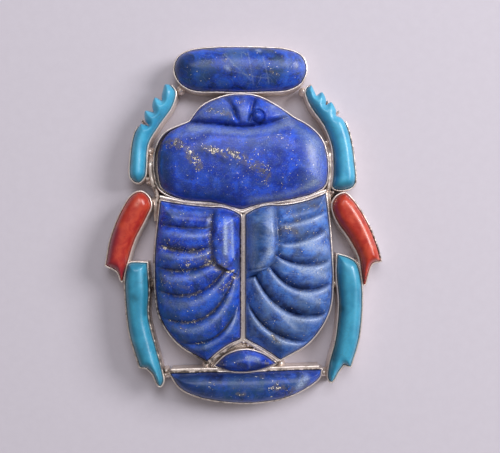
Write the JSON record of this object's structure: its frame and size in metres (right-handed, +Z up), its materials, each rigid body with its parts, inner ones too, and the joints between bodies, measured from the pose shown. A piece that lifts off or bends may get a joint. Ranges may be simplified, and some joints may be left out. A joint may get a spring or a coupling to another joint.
{
  "type": "inlaid scarab pendant",
  "caption": "Flat openwork silver scarab set with domed, carved stone inlays; lies on its plain flat back, head end towards +Y.",
  "frame": {"origin": "on the surface that the flat back lies on, under the middle of the whole", "axes": "+X to the right seen from above, +Y towards the head, +Z up out of the stones"},
  "size_m": [0.0506, 0.0648, 0.0086],
  "materials": {
    "silver": "satin, rubbed bright on the rims, tarnished in the recesses",
    "lapis": "polished, with pyrite flecks",
    "turquoise": "polished",
    "coral": "polished"
  },
  "bodies": {
    "root": {"silver_setting": "silver", "top_bar_lapis": "lapis", "head_and_thorax_lapis": "lapis", "left_wing_case_lapis": "lapis", "right_wing_case_lapis": "lapis", "tail_lapis": "lapis", "lower_crescent_lapis": "lapis", "left_front_leg_turquoise": "turquoise", "right_front_leg_turquoise": "turquoise", "left_middle_leg_coral": "coral", "right_middle_leg_coral": "coral", "left_hind_leg_turquoise": "turquoise", "right_hind_leg_turquoise": "turquoise"}
  },
  "joints": []
}
